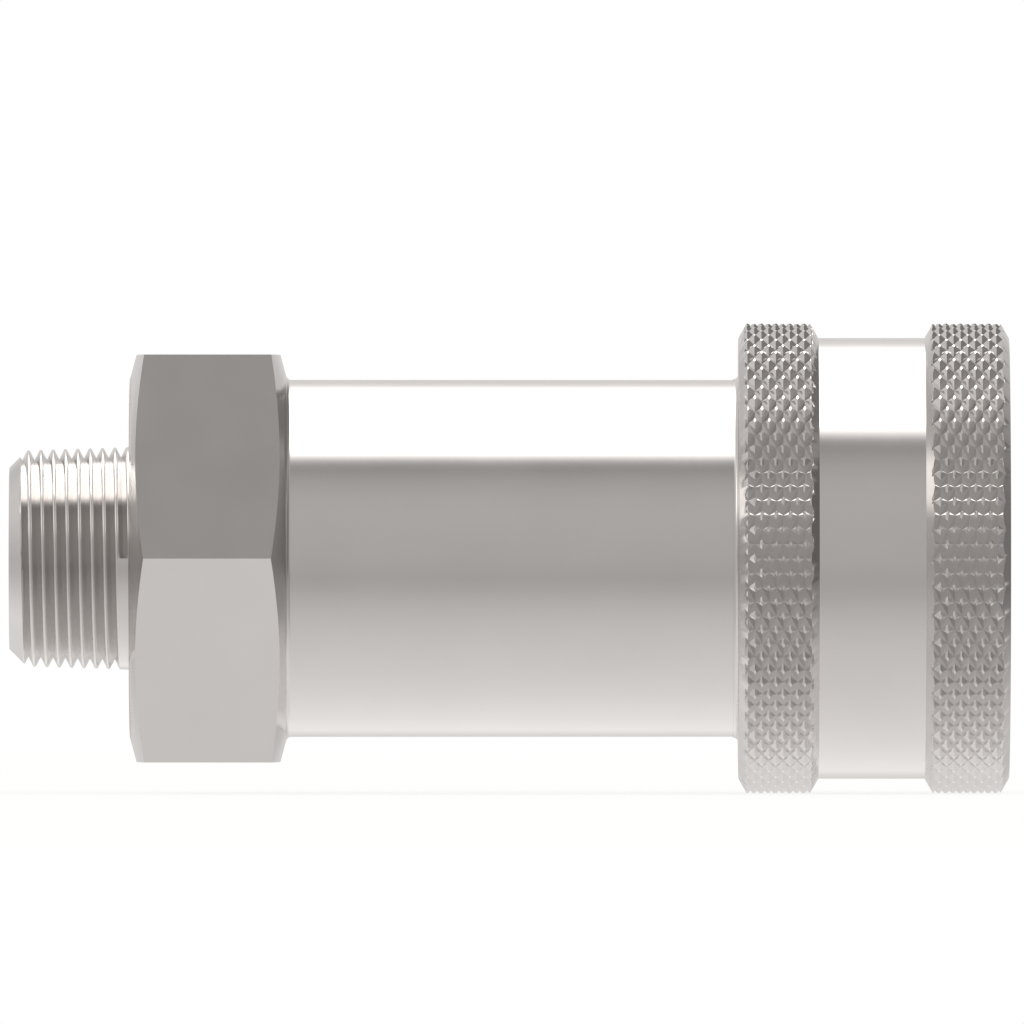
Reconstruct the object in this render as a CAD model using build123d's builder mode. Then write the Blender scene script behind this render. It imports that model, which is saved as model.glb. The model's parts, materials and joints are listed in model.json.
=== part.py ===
from build123d import *
from math import cos, radians, sin, sqrt, tan
import os

os.makedirs("parts", exist_ok=True)

# Hydraulic quick coupling socket, in millimetres. The axis is X: the taper thread
# ends at x = 0 and the mouth faces +X. Two flats of the hexagon face +Z and -Z.
# In every turned profile the first number is x and the second the radius.

# Taper thread, given by its crests (the fine thread itself is left off)
thread_length = 22.52
thread_mid = 12.24
thread_mid_radius = 20.52
thread_taper = 1 / 32
tip_radius = 17.0
port_bore_radius = 13.5

# Hexagon
hex_across_flats = 76.2
hex_length = 29.45
hex_chamfer_angle = 15
hex_fillet = 1.0

# Locking balls, and how far they reach into the plug bore
plug_bore_radius = 21.6
ball_radius = 4.7625
ball_count = 12
ball_grip = 1.71
ball_clearance = 0.05
ball_seat_angle = 30
ball_overtravel = 0.05

# Sleeve, from its rear face to its front face
sleeve_travel = 8.0
rear_band_length = 14.98
waist_length = 19.88
front_band_length = 15.78
knurl_height = 2.71
band_chamfer_angle = 60
sleeve_wall = 7.745
sleeve_fit = 0.08
land_fit = 0.05
land_overlap = 2.2
lip_radius = 1.0
lip_edge = 0.05
counterbore_depth = 0.3
sleeve_edge = 0.5

# Tube between hexagon and sleeve
exposed_tube = 84.46
sleeve_clearance_gap = 0.05

# Nose
nose_recess = 0.87
nose_chamfer = 1.0
nose_lip = 2.1
mouth_lead = 0.4
mouth_length = 4.4
ball_wall = 1.2
plug_depth = 34.2
spigot_step = 2.0
spigot_wall = 4.0
spigot_length = 18.0
thread_clearance = 0.05
spigot_end_gap = 0.5

# Stop ring and its groove
stop_ring_thickness = 2.0
stop_ring_height = 2.7
stop_ring_depth = 1.2
stop_ring_play = 0.1
ring_gap = 6.0

# Sleeve spring and thrust washer
spring_space = 4.0
sleeve_wire = 2.6
sleeve_spring_length = 21.8
sleeve_spring_turns = 4
washer_thickness = 1.2
washer_clearance = 0.25
spring_end_gap = 0.02

# Plug seal and backup ring
plug_seal_setback = 9.5
plug_groove_width = 5.6
plug_groove_depth = 3.0
plug_seal_section = 3.5
plug_backup_width = 1.6
backup_clearance = 0.08

# Seal between front and rear body
body_groove_setback = 1.6
body_groove_width = 4.9
body_groove_depth = 2.1
body_seal_width = 2.9
body_backup_width = 1.4
seal_slack = 0.04

# Valve seat and poppet
throat_length = 3.0
flow_gap = 3.7
seat_width = 4.8
seat_height = 4.5
poppet_gap = 0.06
disc_thickness = 3.0
seal_width = 3.0
seal_land = 4.0
retainer_clearance = 0.8
retainer_nose = 7.0
retainer_taper = 3.0
retainer_tip_radius = 8.0
retainer_edge = 1.0
shank_radius = 4.0
shank_length = 10.0
hex_key_radius = 2.9
hex_key_depth = 3.5
stem_radius = 5.0
stem_overhang = 2.0
stem_chamfer = 1.0
stem_clearance = 0.05

# Valve spring
valve_wire = 2.2
valve_spring_radius = 11.5
valve_spring_turns = 5
spring_seat_height = 1.5
spring_pilot_clearance = 0.4

# Valve guide, its shelf in the tube and its snap ring
valve_spring_length = 37.5
guide_hub_radius = 8.6
guide_pilot = 4.0
guide_rim_width = 4.0
guide_rim_wall = 3.0
guide_arm_width = 5.0
guide_arms = 3
guide_fit = 0.05
guide_shelf = 1.5
guide_ring_thickness = 1.5
guide_ring_depth = 1.9
guide_ring_height = 3.2
passage_length = 42.0
passage_cone_angle = 45

# Places along the axis
hex_start = thread_length
hex_end = hex_start + hex_length
sleeve_rear = hex_end + exposed_tube
band_foot = sleeve_rear + rear_band_length
waist_end = band_foot + waist_length
sleeve_front = waist_end + front_band_length
nose_face = sleeve_front - nose_recess
groove_front = nose_face - nose_lip
groove_rear = groove_front - stop_ring_thickness - stop_ring_play
stop_shoulder = groove_front - stop_ring_thickness - sleeve_clearance_gap
ball_hole_radius = ball_radius + ball_clearance
ball_x = groove_rear - ball_wall - ball_hole_radius
land_rear = ball_x - ball_hole_radius - land_overlap
washer_front = land_rear - sleeve_clearance_gap
washer_rear = washer_front - washer_thickness
tube_front = washer_rear - sleeve_spring_length
spigot_rear = tube_front - spigot_length
throat_front = nose_face - plug_depth
throat_rear = throat_front - throat_length
seat_rear = throat_rear - seat_height
disc_front = seat_rear - poppet_gap
disc_rear = disc_front - disc_thickness
guide_rim_front = disc_rear - valve_spring_length
guide_rim_rear = guide_rim_front - guide_rim_width
guide_groove_rear = guide_rim_front + guide_fit
guide_groove_front = guide_groove_rear + guide_ring_thickness + guide_fit
passage_rear = guide_rim_rear - passage_length

# Radii
ball_centre_radius = plug_bore_radius - ball_grip + ball_radius
nose_radius = ball_centre_radius + ball_radius
land_radius = nose_radius + land_fit
tube_radius = nose_radius + spring_space
sleeve_bore = tube_radius + sleeve_fit
waist_radius = sleeve_bore + sleeve_wall
knurl_radius = waist_radius + knurl_height
spigot_radius = nose_radius - spigot_step
chamber_radius = spigot_radius - spigot_wall
disc_radius = chamber_radius - flow_gap
throat_radius = disc_radius - seat_width
shelf_radius = chamber_radius - guide_shelf
stop_ring_radius = nose_radius + stop_ring_height
counterbore_radius = stop_ring_radius + counterbore_depth
mouth_radius = plug_bore_radius + mouth_lead
hex_corner_radius = hex_across_flats / 2 / cos(radians(30))
hex_chamfer = (hex_corner_radius - tube_radius) * tan(radians(hex_chamfer_angle))
band_chamfer = knurl_height / tan(radians(band_chamfer_angle))
hex_fillet_reach = hex_fillet / tan(radians((90 + hex_chamfer_angle) / 2))
tip_chamfer = (thread_mid_radius - thread_mid * thread_taper - tip_radius) / (1 - thread_taper)

# The sleeve's cam lets the balls out in step with its travel
ball_travel = ball_grip + ball_overtravel
cam_slope = ball_travel / sleeve_travel
cam_offset = (ball_radius + ball_clearance) * sqrt(1 + cam_slope**2)
cam_start = ball_x + (land_radius - ball_centre_radius - cam_offset) / cam_slope
cam_end_radius = ball_centre_radius + cam_offset + (stop_shoulder - ball_x) * cam_slope

# Sketch plane square to the axis
across = Plane.YZ

# Rear body: taper thread, hexagon and tube in one piece, bored through. The fillet between
# hexagon and tube touches the hexagon's end cone, so it is part of the turned outline.
fillet_start = hex_end - hex_fillet_reach * sin(radians(hex_chamfer_angle))
with BuildPart() as rear_body:
    with BuildSketch(across.offset(hex_start)):
        RegularPolygon(hex_across_flats / 2, 6, major_radius=False)
    extrude(amount=hex_length)
    with BuildSketch(Plane.XY):
        with BuildLine():
            Polyline(
                (hex_start, 0),
                (hex_start, tube_radius),
                (hex_start + hex_chamfer, hex_corner_radius),
                (hex_end - hex_chamfer, hex_corner_radius),
                (hex_end, tube_radius),
                (hex_end, 0),
                close=True,
            )
        make_face()
    revolve(axis=Axis.X, mode=Mode.INTERSECT)
    with BuildSketch(Plane.XY):
        with BuildLine():
            outline = Polyline(
                (hex_end + hex_fillet_reach, tube_radius),
                (tube_front, tube_radius),
                (tube_front, 0),
                (0, 0),
                (0, tip_radius),
                (tip_chamfer, tip_radius + tip_chamfer),
                (hex_start, thread_mid_radius + (hex_start - thread_mid) * thread_taper),
                (hex_start, hex_across_flats / 4),
                (fillet_start, hex_across_flats / 4),
                (fillet_start, tube_radius + hex_fillet_reach * cos(radians(hex_chamfer_angle))),
            )
            RadiusArc(outline @ 1, outline @ 0, -hex_fillet)
        make_face()
    revolve(axis=Axis.X)
    with BuildSketch(Plane.XY):
        with BuildLine():
            Polyline(
                (0, 0),
                (0, port_bore_radius),
                (
                    passage_rear - (shelf_radius - port_bore_radius) / tan(radians(passage_cone_angle)),
                    port_bore_radius,
                ),
                (passage_rear, shelf_radius),
                (guide_rim_rear, shelf_radius),
                (guide_rim_rear, chamber_radius),
                (guide_groove_rear, chamber_radius),
                (guide_groove_rear, chamber_radius + guide_ring_depth),
                (guide_groove_front, chamber_radius + guide_ring_depth),
                (guide_groove_front, chamber_radius),
                (spigot_rear - spigot_end_gap, chamber_radius),
                (spigot_rear - spigot_end_gap, spigot_radius + thread_clearance),
                (tube_front, spigot_radius + thread_clearance),
                (tube_front, 0),
                close=True,
            )
        make_face()
    revolve(axis=Axis.X, mode=Mode.SUBTRACT)

# Front body: nose with the plug bore and ball holes, valve seat, and threaded spigot
groove_bottom = plug_bore_radius + plug_groove_depth
plug_groove_front = ball_x - plug_seal_setback
plug_groove_rear = plug_groove_front - plug_groove_width
body_groove_rear = spigot_rear + body_groove_setback
body_groove_front = body_groove_rear + body_groove_width
body_groove_radius = spigot_radius - body_groove_depth

# Cutter for one ball hole, which narrows to a conical seat that keeps the ball out of the bore
seat_slope = tan(radians(ball_seat_angle))
seat_contact = ball_centre_radius - ball_radius * sin(radians(ball_seat_angle))
seat_contact_radius = ball_radius * cos(radians(ball_seat_angle)) + ball_clearance
seat_bottom = plug_bore_radius - ball_grip
seat_top = seat_contact + (ball_hole_radius - seat_contact_radius) / seat_slope

with BuildPart() as ball_hole:
    with BuildSketch(Plane.XY):
        with BuildLine():
            Polyline(
                (ball_x, seat_bottom),
                (ball_x + seat_contact_radius - (seat_contact - seat_bottom) * seat_slope, seat_bottom),
                (ball_x + ball_hole_radius, seat_top),
                (ball_x + ball_hole_radius, nose_radius + ball_radius),
                (ball_x, nose_radius + ball_radius),
                close=True,
            )
        make_face()
    revolve(axis=Axis((ball_x, 0, 0), (0, 1, 0)))

with BuildPart() as front_body:
    with BuildSketch(Plane.XY):
        with BuildLine():
            Polyline(
                (spigot_rear, chamber_radius),
                (spigot_rear, spigot_radius),
                (body_groove_rear, spigot_radius),
                (body_groove_rear, body_groove_radius),
                (body_groove_front, body_groove_radius),
                (body_groove_front, spigot_radius),
                (tube_front, spigot_radius),
                (tube_front, nose_radius),
                (groove_rear, nose_radius),
                (groove_rear, nose_radius - stop_ring_depth),
                (groove_front, nose_radius - stop_ring_depth),
                (groove_front, nose_radius),
                (nose_face - nose_chamfer, nose_radius),
                (nose_face, nose_radius - nose_chamfer),
                (nose_face, mouth_radius + nose_chamfer),
                (nose_face - nose_chamfer, mouth_radius),
                (nose_face - nose_chamfer - mouth_length, mouth_radius),
                (nose_face - nose_chamfer - mouth_length - mouth_lead, plug_bore_radius),
                (plug_groove_front, plug_bore_radius),
                (plug_groove_front, groove_bottom),
                (plug_groove_rear, groove_bottom),
                (plug_groove_rear, plug_bore_radius),
                (throat_front, plug_bore_radius),
                (throat_front, throat_radius),
                (throat_rear, throat_radius),
                (seat_rear, throat_radius + seat_height),
                (seat_rear, chamber_radius),
                close=True,
            )
        make_face()
    revolve(axis=Axis.X)
    for index in range(ball_count):
        add(ball_hole.part.rotate(Axis.X, index * 360 / ball_count), mode=Mode.SUBTRACT)

# Locking balls, one in each hole
with BuildPart() as ball:
    with Locations((ball_x, ball_centre_radius, 0)):
        Sphere(ball_radius)

# Sleeve: knurled bands and waist outside; tube bore, land, cam and counterbore inside
with BuildPart() as sleeve:
    with BuildSketch(Plane.XY):
        with BuildLine():
            outline = Polyline(
                (sleeve_rear, sleeve_bore + lip_edge + lip_radius),
                (sleeve_rear, waist_radius),
                (sleeve_rear + band_chamfer, knurl_radius),
                (band_foot - band_chamfer, knurl_radius),
                (band_foot, waist_radius),
                (waist_end, waist_radius),
                (waist_end + band_chamfer, knurl_radius),
                (sleeve_front - band_chamfer, knurl_radius),
                (sleeve_front, waist_radius),
                (sleeve_front, counterbore_radius + sleeve_edge),
                (sleeve_front - sleeve_edge, counterbore_radius),
                (stop_shoulder, counterbore_radius),
                (stop_shoulder, cam_end_radius),
                (cam_start, land_radius),
                (land_rear, land_radius),
                (land_rear, sleeve_bore),
                (sleeve_rear - lip_radius, sleeve_bore),
                (sleeve_rear - lip_radius, sleeve_bore + lip_edge),
            )
            RadiusArc(outline @ 1, outline @ 0, -lip_radius)
        make_face()
    revolve(axis=Axis.X)

# Stop ring, split so that it can be sprung into its groove
with BuildPart() as sleeve_stop_ring:
    with BuildSketch(across.offset(groove_front - stop_ring_thickness)):
        Circle(stop_ring_radius)
        Circle(nose_radius - stop_ring_depth + stop_ring_play, mode=Mode.SUBTRACT)
        with Locations((0, nose_radius)):
            Rectangle(ring_gap, 4 * stop_ring_height, mode=Mode.SUBTRACT)
    extrude(amount=stop_ring_thickness)

# Thrust washer between the spring and the sleeve's land
with BuildPart() as spring_washer:
    with BuildSketch(across.offset(washer_rear)):
        Circle(sleeve_bore - washer_clearance)
        Circle(nose_radius + washer_clearance, mode=Mode.SUBTRACT)
    extrude(amount=washer_thickness)

# Sleeve spring, ground flat at both ends
sleeve_spring_radius = (nose_radius + sleeve_bore) / 2
with BuildPart() as sleeve_spring:
    with BuildLine() as sleeve_coil:
        Helix(
            sleeve_spring_length / sleeve_spring_turns,
            sleeve_spring_length,
            sleeve_spring_radius,
            center=(tube_front, 0, 0),
            direction=(1, 0, 0),
        )
    with BuildSketch(Plane(sleeve_coil.line @ 0, z_dir=sleeve_coil.line % 0)):
        Circle(sleeve_wire / 2)
    sweep(path=sleeve_coil.line, is_frenet=True)
    with BuildSketch(across.offset(tube_front + spring_end_gap)):
        Circle(sleeve_bore)
    extrude(amount=sleeve_spring_length - 2 * spring_end_gap, mode=Mode.INTERSECT)

# Plug seal, which stands a little proud of the bore, and its backup ring on the mouth side
plug_backup_front = plug_groove_front - backup_clearance
plug_seal_x = plug_backup_front - plug_backup_width - backup_clearance - plug_seal_section / 2
with BuildPart() as plug_seal:
    with BuildSketch(Plane.XY):
        with Locations((plug_seal_x, groove_bottom - backup_clearance - plug_seal_section / 2)):
            Circle(plug_seal_section / 2)
    revolve(axis=Axis.X)

with BuildPart() as plug_backup_ring:
    with BuildSketch(across.offset(plug_backup_front - plug_backup_width)):
        Circle(groove_bottom - backup_clearance)
        Circle(plug_bore_radius + backup_clearance, mode=Mode.SUBTRACT)
    extrude(amount=plug_backup_width)

# Body seal, squeezed to an oval between the groove and the tube, and its backup ring
body_seal_height = body_groove_depth + thread_clearance - seal_slack
with BuildPart() as body_seal:
    with BuildSketch(Plane.XY):
        with Locations(
            (
                body_groove_rear + seal_slack + body_seal_width / 2,
                body_groove_radius + (body_groove_depth + thread_clearance) / 2,
            )
        ):
            Ellipse(body_seal_width / 2, body_seal_height / 2)
    revolve(axis=Axis.X)

with BuildPart() as body_backup_ring:
    with BuildSketch(across.offset(body_groove_front - seal_slack - body_backup_width)):
        Circle(spigot_radius + thread_clearance - seal_slack)
        Circle(body_groove_radius + seal_slack, mode=Mode.SUBTRACT)
    extrude(amount=body_backup_width)

# Poppet: disc, boss for the seal, locating ring for the spring, and stem
seal_bore_radius = throat_radius - seal_land
seal_front = disc_front + seal_width
spring_pilot_radius = valve_spring_radius - valve_wire / 2 - spring_pilot_clearance
stem_rear = guide_rim_rear - guide_pilot - stem_overhang
with BuildPart() as valve_poppet:
    with BuildSketch(Plane.XY):
        with BuildLine():
            Polyline(
                (stem_rear, 0),
                (stem_rear, stem_radius - stem_chamfer),
                (stem_rear + stem_chamfer, stem_radius),
                (disc_rear - spring_seat_height, stem_radius),
                (disc_rear - spring_seat_height, spring_pilot_radius),
                (disc_rear, spring_pilot_radius),
                (disc_rear, disc_radius),
                (disc_front, disc_radius),
                (disc_front, seal_bore_radius),
                (seal_front, seal_bore_radius),
                (seal_front, shank_radius + thread_clearance),
                (seal_front - shank_length - stem_chamfer, shank_radius + thread_clearance),
                (seal_front - shank_length - stem_chamfer, 0),
                close=True,
            )
        make_face()
    revolve(axis=Axis.X)

# Seal ring clamped on the poppet; its cone follows the seat
seal_offset = poppet_gap * sqrt(2)
with BuildPart() as poppet_seal:
    with BuildSketch(Plane.XY):
        with BuildLine():
            Polyline(
                (disc_front, seal_bore_radius + seal_slack),
                (disc_front, throat_radius + throat_rear - disc_front - seal_offset),
                (seal_front, throat_radius + throat_rear - seal_front - seal_offset),
                (seal_front, seal_bore_radius + seal_slack),
                close=True,
            )
        make_face()
    revolve(axis=Axis.X)

# Retainer: the poppet's nose, screwed in to clamp the seal
retainer_front = seal_front + retainer_nose
retainer_radius = throat_radius - retainer_clearance
with BuildPart() as seal_retainer:
    with BuildSketch(Plane.XY):
        with BuildLine():
            Polyline(
                (seal_front - shank_length, 0),
                (seal_front - shank_length, shank_radius),
                (seal_front, shank_radius),
                (seal_front, retainer_radius),
                (retainer_front - retainer_taper, retainer_radius),
                (retainer_front, retainer_tip_radius),
                (retainer_front, 0),
                close=True,
            )
        make_face()
    revolve(axis=Axis.X)
    fillet(
        seal_retainer.edges()
        .filter_by(GeomType.CIRCLE)
        .filter_by_position(Axis.X, retainer_front - 0.01, retainer_front + 0.01),
        retainer_edge,
    )
    with BuildSketch(across.offset(retainer_front)):
        RegularPolygon(hex_key_radius, 6, major_radius=False)
    extrude(amount=-hex_key_depth, mode=Mode.SUBTRACT)

# Valve spring between the guide's arms and the disc, ground flat at both ends
with BuildPart() as valve_spring:
    with BuildLine() as valve_coil:
        Helix(
            valve_spring_length / valve_spring_turns,
            valve_spring_length,
            valve_spring_radius,
            center=(guide_rim_front, 0, 0),
            direction=(1, 0, 0),
        )
    with BuildSketch(Plane(valve_coil.line @ 0, z_dir=valve_coil.line % 0)):
        Circle(valve_wire / 2)
    sweep(path=valve_coil.line, is_frenet=True)
    with BuildSketch(across.offset(guide_rim_front + spring_end_gap)):
        Circle(chamber_radius)
    extrude(amount=valve_spring_length - 2 * spring_end_gap, mode=Mode.INTERSECT)

# Valve guide: hub, rim and three arms
guide_rim_radius = chamber_radius - guide_fit
with BuildPart() as valve_guide:
    with BuildSketch(across.offset(guide_rim_rear)):
        Circle(guide_rim_radius)
        Circle(guide_rim_radius - guide_rim_wall, mode=Mode.SUBTRACT)
        with PolarLocations(guide_rim_radius / 2, guide_arms, start_angle=90):
            Rectangle(guide_rim_radius - guide_rim_wall / 2, guide_arm_width)
    extrude(amount=guide_rim_width)
    with BuildSketch(across.offset(guide_rim_rear - guide_pilot)):
        Circle(guide_hub_radius)
    extrude(amount=guide_rim_width + 2 * guide_pilot)
    with BuildSketch(across.offset(guide_rim_rear - guide_pilot)):
        Circle(stem_radius + stem_clearance)
    extrude(amount=guide_rim_width + 2 * guide_pilot, mode=Mode.SUBTRACT)

# Snap ring that holds the guide on its shelf
guide_ring_radius = chamber_radius + guide_ring_depth - guide_fit
with BuildPart() as guide_retaining_ring:
    with BuildSketch(across.offset(guide_groove_rear + guide_fit / 2)):
        Circle(guide_ring_radius)
        Circle(guide_ring_radius - guide_ring_height, mode=Mode.SUBTRACT)
        with Locations((0, chamber_radius)):
            Rectangle(ring_gap, 4 * guide_ring_height, mode=Mode.SUBTRACT)
    extrude(amount=guide_ring_thickness)

pieces = {
    "rear_body": rear_body.part,
    "front_body": front_body.part,
    "sleeve": sleeve.part,
    "sleeve_stop_ring": sleeve_stop_ring.part,
    "spring_washer": spring_washer.part,
    "sleeve_spring": sleeve_spring.part,
    "plug_seal": plug_seal.part,
    "plug_backup_ring": plug_backup_ring.part,
    "body_seal": body_seal.part,
    "body_backup_ring": body_backup_ring.part,
    "valve_poppet": valve_poppet.part,
    "poppet_seal": poppet_seal.part,
    "seal_retainer": seal_retainer.part,
    "valve_spring": valve_spring.part,
    "valve_guide": valve_guide.part,
    "guide_retaining_ring": guide_retaining_ring.part,
}
for index in range(ball_count):
    pieces[f"lock_ball_{index + 1:02d}"] = ball.part.rotate(Axis.X, index * 360 / ball_count)

for name, piece in pieces.items():
    piece.label = name
    export_step(piece, f"parts/{name}.step")
    print(name, round(piece.volume, 1))
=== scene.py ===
"""Quick coupling socket: the looks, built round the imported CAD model.

The axis of the socket is X. The taper thread ends at x = 0 and the mouth faces +X.
Sizes in this file are millimetres; a mesh is turned into metres as it is made.
A turned piece is a closed outline of (x, radius) points carried round the axis. The angle
round the axis starts at +Y and grows towards +Z.
"""

from __future__ import annotations

import json
import logging
from dataclasses import dataclass, field
from enum import Enum
from typing import Sequence

import bmesh
import bpy
import numpy as np
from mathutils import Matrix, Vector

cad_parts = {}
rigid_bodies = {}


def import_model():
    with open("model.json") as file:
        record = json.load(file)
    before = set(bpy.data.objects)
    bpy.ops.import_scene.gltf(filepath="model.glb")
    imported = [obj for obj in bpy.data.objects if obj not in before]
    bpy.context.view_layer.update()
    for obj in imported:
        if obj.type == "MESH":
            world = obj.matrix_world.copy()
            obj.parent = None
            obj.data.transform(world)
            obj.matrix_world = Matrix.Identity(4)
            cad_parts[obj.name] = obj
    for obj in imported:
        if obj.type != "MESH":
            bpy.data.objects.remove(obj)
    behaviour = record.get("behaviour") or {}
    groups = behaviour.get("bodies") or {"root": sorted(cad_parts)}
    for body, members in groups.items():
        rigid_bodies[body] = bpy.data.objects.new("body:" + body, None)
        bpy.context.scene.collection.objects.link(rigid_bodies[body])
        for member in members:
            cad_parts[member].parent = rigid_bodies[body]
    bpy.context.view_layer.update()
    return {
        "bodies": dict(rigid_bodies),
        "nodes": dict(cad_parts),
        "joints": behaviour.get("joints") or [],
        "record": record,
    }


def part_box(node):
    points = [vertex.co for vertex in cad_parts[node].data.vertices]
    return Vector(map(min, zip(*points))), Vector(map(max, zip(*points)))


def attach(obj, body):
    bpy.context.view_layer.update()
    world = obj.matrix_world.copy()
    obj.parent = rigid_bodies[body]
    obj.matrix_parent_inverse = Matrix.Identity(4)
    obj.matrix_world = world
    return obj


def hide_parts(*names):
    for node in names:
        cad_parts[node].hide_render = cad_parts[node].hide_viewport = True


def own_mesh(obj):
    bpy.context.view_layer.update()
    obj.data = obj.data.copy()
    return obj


LOG = logging.getLogger("socket")
MM = 0.001
MERGE_DISTANCE = 2e-7
DEGENERATE_LENGTH = 1e-8
LARGEST_EASE = 0.4
ROUNDING = 1e-9
HIGHEST_LIGHT = 4.0
Points = np.ndarray
Outline = list[tuple[float, float]]
Pair = tuple[float, float]
Triple = tuple[float, float, float]
Curve = tuple[Pair, ...]


class Slot(Enum):
    """The record's material slots."""

    BODY = "body_steel"
    SLEEVE = "sleeve_steel"
    VALVE = "valve_steel"
    WASHER = "washer_steel"
    SPRING = "spring_steel"
    BALL = "ball_steel"
    RUBBER = "seal_rubber"
    PLASTIC = "backup_plastic"


# Meshes


@dataclass
class Patch:
    """A stretch of surface in millimetres, smooth or with flat faces."""

    points: Points
    faces: np.ndarray
    smooth: bool = True


def smoothstep(low: float, high: float, value: np.ndarray) -> np.ndarray:
    """Ease from 0 at low to 1 at high: 3t^2 - 2t^3 of the share t between them.

    Args:
        low: Where the rise starts.
        high: Where it ends.
        value: The values to ease.

    Returns:
        The eased shares, from 0 to 1.
    """
    share = np.clip((value - low) / (high - low), 0.0, 1.0)
    return share * share * (3.0 - 2.0 * share)


def around(x: np.ndarray, radius: np.ndarray, angle: np.ndarray) -> Points:
    """Place (x, radius, angle) in space: y = radius cos(angle), z = radius sin(angle).

    Args:
        x: Places along the axis.
        radius: Distances from the axis.
        angle: Angles round the axis, in radians.

    Returns:
        Points as an array whose last side is 3 long.
    """
    x, radius, angle = np.broadcast_arrays(x, radius, angle)
    return np.stack([x, radius * np.cos(angle), radius * np.sin(angle)], axis=-1)


def grid_faces(rows: int, columns: int, wrap: bool = True, step: int = 0) -> np.ndarray:
    """Four-sided faces between the rows and columns of a grid of points.

    Args:
        rows: How many rows the grid has.
        columns: How many columns.
        wrap: Whether the last column joins the first.
        step: How many rows further on the last column meets the first, as on a screw thread.

    Returns:
        The faces as rows of four point numbers.
    """
    row, column = np.meshgrid(np.arange(rows), np.arange(columns), indexing="ij")
    after = (column + 1) % columns
    ahead = np.where(column + 1 == columns, np.minimum(row + step, rows - 1), row)
    here = row * columns + column
    beside = ahead * columns + after
    last = columns if wrap else columns - 1
    here, beside = here[:, :last], beside[:, :last]
    return np.stack([here[:-1], here[1:], beside[1:], beside[:-1]], axis=-1).reshape(-1, 4)


def grid_patch(points: Points, wrap: bool = True, step: int = 0, outward: bool = True) -> Patch:
    """Turn a grid of points into a patch.

    Args:
        points: Points as rows by columns by 3.
        wrap: Whether the last column joins the first.
        step: Rows that the join at the last column climbs.
        outward: False turns every face over.

    Returns:
        The patch.
    """
    rows, columns = points.shape[:2]
    faces = grid_faces(rows, columns, wrap, step)
    if outward:
        faces = faces[:, ::-1]
    return Patch(points.reshape(-1, 3), faces)


def make_piece(name: str, patches: Sequence[Patch], sharp: float = 32.0) -> bpy.types.Object:
    """Join patches into one closed mesh object in metres.

    Args:
        name: The piece's name.
        patches: Its patches, whose edges meet point on point.
        sharp: Angle in degrees above which an edge is shaded sharp.

    Returns:
        The object, linked to the scene.
    """
    starts = np.cumsum([0] + [len(patch.points) for patch in patches])
    points = np.concatenate([patch.points for patch in patches]) * MM
    corners = np.concatenate([(p.faces + s).ravel() for p, s in zip(patches, starts)])
    sizes = np.concatenate([np.full(len(p.faces), p.faces.shape[1]) for p in patches])
    flags = np.concatenate([np.full(len(p.faces), p.smooth) for p in patches])
    mesh = bpy.data.meshes.new(name)
    mesh.vertices.add(len(points))
    mesh.vertices.foreach_set("co", points.astype(np.float32).ravel())
    mesh.loops.add(len(corners))
    mesh.loops.foreach_set("vertex_index", corners.astype(np.int32))
    mesh.polygons.add(len(sizes))
    mesh.polygons.foreach_set("loop_start", (np.cumsum(sizes) - sizes).astype(np.int32))
    mesh.polygons.foreach_set("use_smooth", flags)
    mesh.update(calc_edges=True)
    return weld(name, mesh, sharp)


def weld(name: str, mesh: bpy.types.Mesh, sharp: float) -> bpy.types.Object:
    """Merge points that lie on each other, mark the sharp edges and link the object.

    Args:
        name: The object's name.
        mesh: The mesh, in metres.
        sharp: Angle in degrees above which an edge is shaded sharp.

    Returns:
        The object.
    """
    work = bmesh.new()
    work.from_mesh(mesh)
    bmesh.ops.remove_doubles(work, verts=work.verts, dist=MERGE_DISTANCE)
    bmesh.ops.dissolve_degenerate(work, edges=work.edges, dist=DEGENERATE_LENGTH)
    loose = [edge for edge in work.edges if edge.is_wire]
    bmesh.ops.delete(work, geom=loose, context="EDGES")
    open_edges = sum(1 for edge in work.edges if not edge.is_manifold)
    work.to_mesh(mesh)
    work.free()
    mesh.set_sharp_from_angle(angle=np.radians(sharp))
    if open_edges:
        LOG.warning("%s has %d edges that don't join two faces", name, open_edges)
    piece = bpy.data.objects.new(name, mesh)
    bpy.context.scene.collection.objects.link(piece)
    return piece


def eased(outline: Outline, ease: float | Sequence[float], steps: int = 3) -> Outline:
    """Round every corner of a closed outline.

    Each corner P becomes a quadratic curve (1-s)^2 A + 2s(1-s) P + s^2 B, where A and B lie
    on the corner's two sides, at most two fifths of a side away.

    Args:
        outline: The corners of the closed outline.
        ease: How far from a corner the curve starts, one number or one for each corner.
        steps: Spans in each curve.

    Returns:
        The outline with its corners rounded.
    """
    corners = np.array(outline, float)
    amounts = np.broadcast_to(np.asarray(ease, float), len(corners))
    result: Outline = []
    for corner, before, after, amount in zip(
        corners, np.roll(corners, 1, axis=0), np.roll(corners, -1, axis=0), amounts
    ):
        back, onward = before - corner, after - corner
        lengths = np.hypot(*back), np.hypot(*onward)
        if amount <= 0 or min(lengths) < ROUNDING:
            result.append(tuple(corner.tolist()))
            continue
        start = corner + back / lengths[0] * min(amount, LARGEST_EASE * lengths[0])
        end = corner + onward / lengths[1] * min(amount, LARGEST_EASE * lengths[1])
        for s in np.linspace(0.0, 1.0, steps + 1):
            place = (1 - s) ** 2 * start + 2 * s * (1 - s) * corner + s * s * end
            result.append(tuple(place.tolist()))
    return result


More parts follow.
